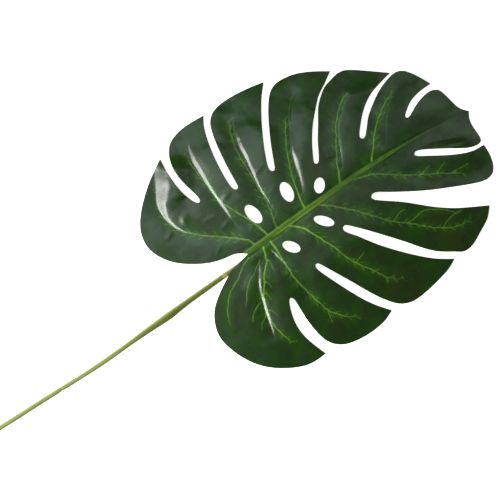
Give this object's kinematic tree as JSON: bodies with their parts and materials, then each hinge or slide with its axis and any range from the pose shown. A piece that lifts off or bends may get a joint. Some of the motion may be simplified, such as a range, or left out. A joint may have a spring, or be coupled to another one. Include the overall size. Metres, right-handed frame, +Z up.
{
  "type": "monstera leaf",
  "caption": "Single cut monstera leaf on its long stalk, lying face up: a glossy dark green heart-shaped blade with deep slits, fingers and oval holes.",
  "frame": {"origin": "middle of the bounding box, on the surface the leaf lies on", "axes": "+X along the midrib from the stalk's cut end to the leaf's tip, +Y to the leaf's left seen from above, +Z up out of the glossy upper side"},
  "size_m": [0.5996, 0.2746, 0.0166],
  "materials": {
    "leaf_flesh": "waxy, glossy dark green",
    "stalk_flesh": "satin pale yellow-green"
  },
  "bodies": {
    "root": {"leaf_blade": "leaf_flesh", "leaf_stalk": "stalk_flesh"}
  },
  "joints": []
}
